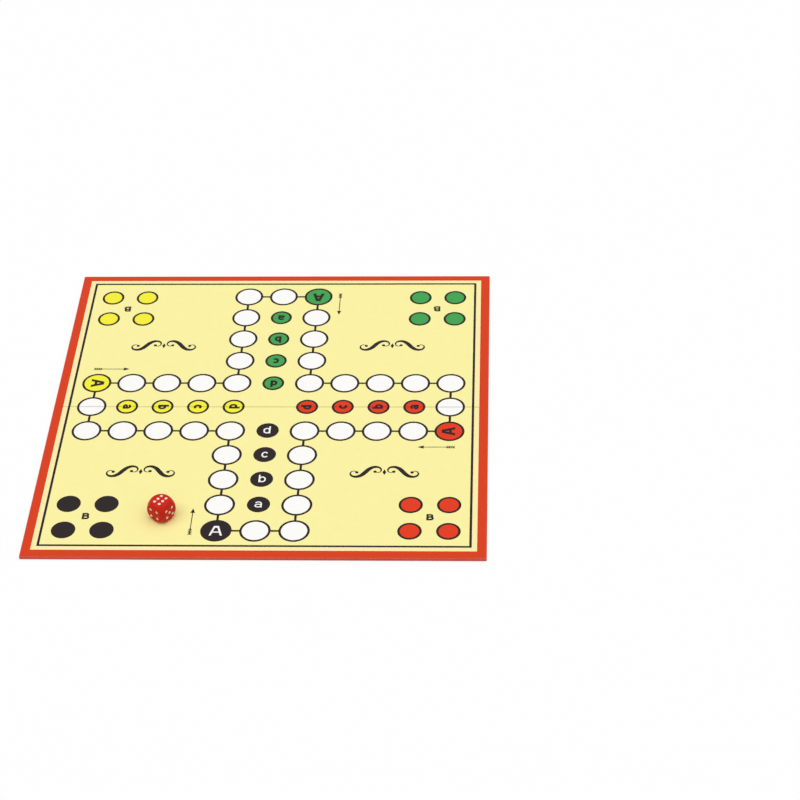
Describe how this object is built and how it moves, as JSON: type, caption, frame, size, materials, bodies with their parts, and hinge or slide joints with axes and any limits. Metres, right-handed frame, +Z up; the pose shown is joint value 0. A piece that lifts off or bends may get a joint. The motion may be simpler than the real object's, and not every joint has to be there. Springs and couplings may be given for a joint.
{
  "type": "ludo board",
  "caption": "Square folding ludo board: wrapped greyboard halves joined by a cloth strip under the printed face, another track printed on the underside, and a rounded die lying on it.",
  "frame": {"origin": "middle of the underside of the open board, where it rests on the table", "axes": "+X to the player's right along the fold, +Y away from the player, +Z up out of the four-player face"},
  "size_m": [0.33, 0.33, 0.0189],
  "materials": {
    "greyboard": "raw grey board, a dense solid paper board, matte",
    "face_paper": "printed paper with a thin satin varnish",
    "back_paper": "printed paper with a thin satin varnish",
    "hinge_linen": "plain woven book cloth, matte",
    "die_plastic": "polished, with white painted pips"
  },
  "bodies": {
    "near_half": {"front_core": "greyboard", "front_face_sheet": "face_paper", "front_back_sheet": "back_paper", "hinge_cloth": "hinge_linen"},
    "far_half": {"rear_core": "greyboard", "rear_face_sheet": "face_paper", "rear_back_sheet": "back_paper"},
    "die": {"die": "die_plastic"}
  },
  "joints": [
    {"name": "fold", "type": "hinge", "parent": "near_half", "child": "far_half", "pos_m": [0, 0, 0.00295], "axis": [1, 0, 0], "range_deg": [0, 179.5], "deforming": ["hinge_cloth"]},
    {"name": "die_roll", "type": "hinge", "parent": "near_half", "child": "die", "pos_m": [-0.0679, -0.16125, 0.00945], "axis": [1, 0, 0], "range_deg": [0, 180]}
  ],
  "couplings": [
    {"joint": "die_roll", "follows": "fold", "ratio": 1.0028}
  ]
}
